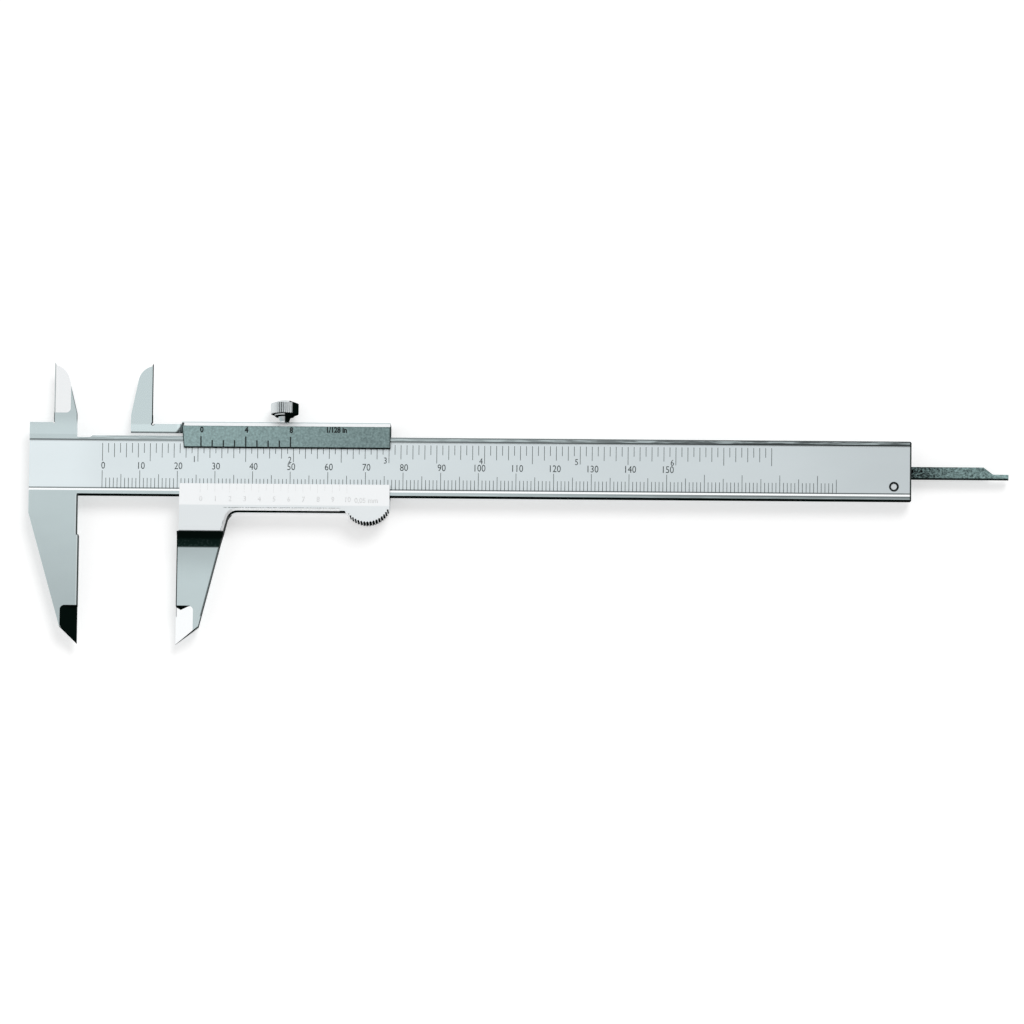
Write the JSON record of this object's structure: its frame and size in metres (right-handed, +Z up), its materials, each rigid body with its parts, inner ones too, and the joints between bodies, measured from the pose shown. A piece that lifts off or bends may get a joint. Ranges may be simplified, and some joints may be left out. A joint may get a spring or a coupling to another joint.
{
  "type": "vernier caliper with depth rod",
  "caption": "Pocket vernier caliper with outside and inside jaws, a sliding depth rod, a thumb rest and a knurled lock screw, standing slightly open.",
  "frame": {"origin": "centre of the outline in plan, at the level of the surface that the caliper lies on, with the slider 26.2 mm open", "axes": "+X along the beam from the jaws to the depth rod, +Y from the outside jaws to the inside jaws, +Z up out of the scale face"},
  "size_m": [0.2602, 0.0756, 0.0074],
  "materials": {
    "beam_steel": "satin chromed scale face, ground edges and jaws",
    "slider_steel": "satin chromed bevels, ground jaws",
    "rod_steel": "drawn, grey",
    "plate_steel": "brushed",
    "screw_steel": "turned",
    "knurled_steel": "bright, straight knurl",
    "gib_brass": "milled",
    "scale_fill": "matt dark fill of engraved lines and figures"
  },
  "bodies": {
    "beam": {"beam": "beam_steel", "end_plate": "plate_steel", "end_plate_screw_lower": "screw_steel", "end_plate_screw_upper": "screw_steel"},
    "slider": {"slider": "slider_steel", "gib_strip": "gib_brass", "gib_screw_left": "screw_steel", "gib_screw_right": "screw_steel", "depth_rod": "rod_steel", "rod_rivet_left": "screw_steel", "rod_rivet_right": "screw_steel"},
    "lock_screw": {"lock_screw": "knurled_steel"}
  },
  "joints": [
    {"name": "slider_travel", "type": "slide", "parent": "beam", "child": "slider", "axis": [1, 0, 0], "range_m": [-0.0262, 0.1297]},
    {"name": "lock_screw_turn", "type": "hinge", "parent": "slider", "child": "lock_screw", "pos_m": [-0.06235, 0.02177, 0.00375], "axis": [0, 1, 0], "range_deg": [-180, 180]}
  ]
}
